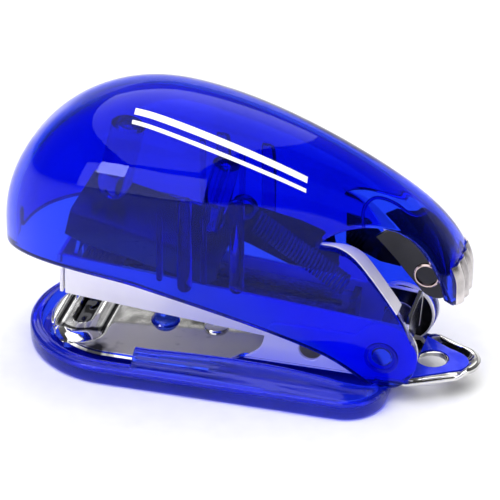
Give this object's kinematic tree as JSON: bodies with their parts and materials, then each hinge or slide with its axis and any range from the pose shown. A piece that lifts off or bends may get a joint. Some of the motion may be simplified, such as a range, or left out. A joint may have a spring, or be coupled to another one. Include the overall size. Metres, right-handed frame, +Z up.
{
  "type": "mini stapler",
  "caption": "Mini desk stapler with a translucent moulded cover and base, a plated steel magazine on a hinge, and a flat rear tab with a ring hole.",
  "frame": {"origin": "centre of the length and width, on the surface that the base stands on", "axes": "+X runs from the nose to the hinge end, +Y across the stapler, +Z up from the surface"},
  "size_m": [0.0688, 0.028, 0.0414],
  "materials": {
    "moulded_blue": "polished translucent cobalt blue moulding",
    "plated_steel": "bright nickel-chrome plate on pressed sheet",
    "plain_steel": "plain rolled steel",
    "spring_wire": "drawn spring wire",
    "staple_wire": "galvanised wire, bonded in a strip"
  },
  "bodies": {
    "base": {"base_tray": "moulded_blue", "base_plate": "plated_steel", "hinge_ears": "plated_steel", "base_rivets": "plated_steel", "hinge_pin": "plain_steel"},
    "magazine": {"magazine": "plated_steel", "magazine_back_plate": "plated_steel", "staple_rail": "plain_steel", "rod_bracket": "plain_steel", "spring_seat": "plain_steel", "staple_strip": "staple_wire", "pusher_rod": "plain_steel", "hinge_sleeve": "plain_steel", "pusher_spring": "spring_wire", "lifting_spring": "spring_wire", "return_spring": "spring_wire"},
    "pusher": {"staple_pusher": "moulded_blue"},
    "cover": {"cover_shell": "moulded_blue", "driver_frame": "plain_steel", "driver_blade": "plain_steel", "cover_screws": "plain_steel", "tail_frame": "plated_steel", "tail_eyelet": "plated_steel", "spring_hook": "spring_wire"}
  },
  "joints": [
    {"name": "magazine_hinge", "type": "hinge", "parent": "base", "child": "magazine", "pos_m": [0.0218, 0, 0.0072], "axis": [0, 1, 0], "range_deg": [-4.4, 10], "stiffness_Nm_per_rad": 0.5},
    {"name": "cover_hinge", "type": "hinge", "parent": "magazine", "child": "cover", "pos_m": [0.0218, 0, 0.0072], "axis": [0, 1, 0], "range_deg": [-8, 40], "stiffness_Nm_per_rad": 0.5, "deforming": ["return_spring", "lifting_spring"]},
    {"name": "pusher_slide", "type": "slide", "parent": "magazine", "child": "pusher", "axis": [0.9969, 0, -0.0785], "range_m": [0, 0.014], "stiffness_N_per_m": 15, "springref_m": -0.01, "deforming": ["pusher_spring"]}
  ]
}
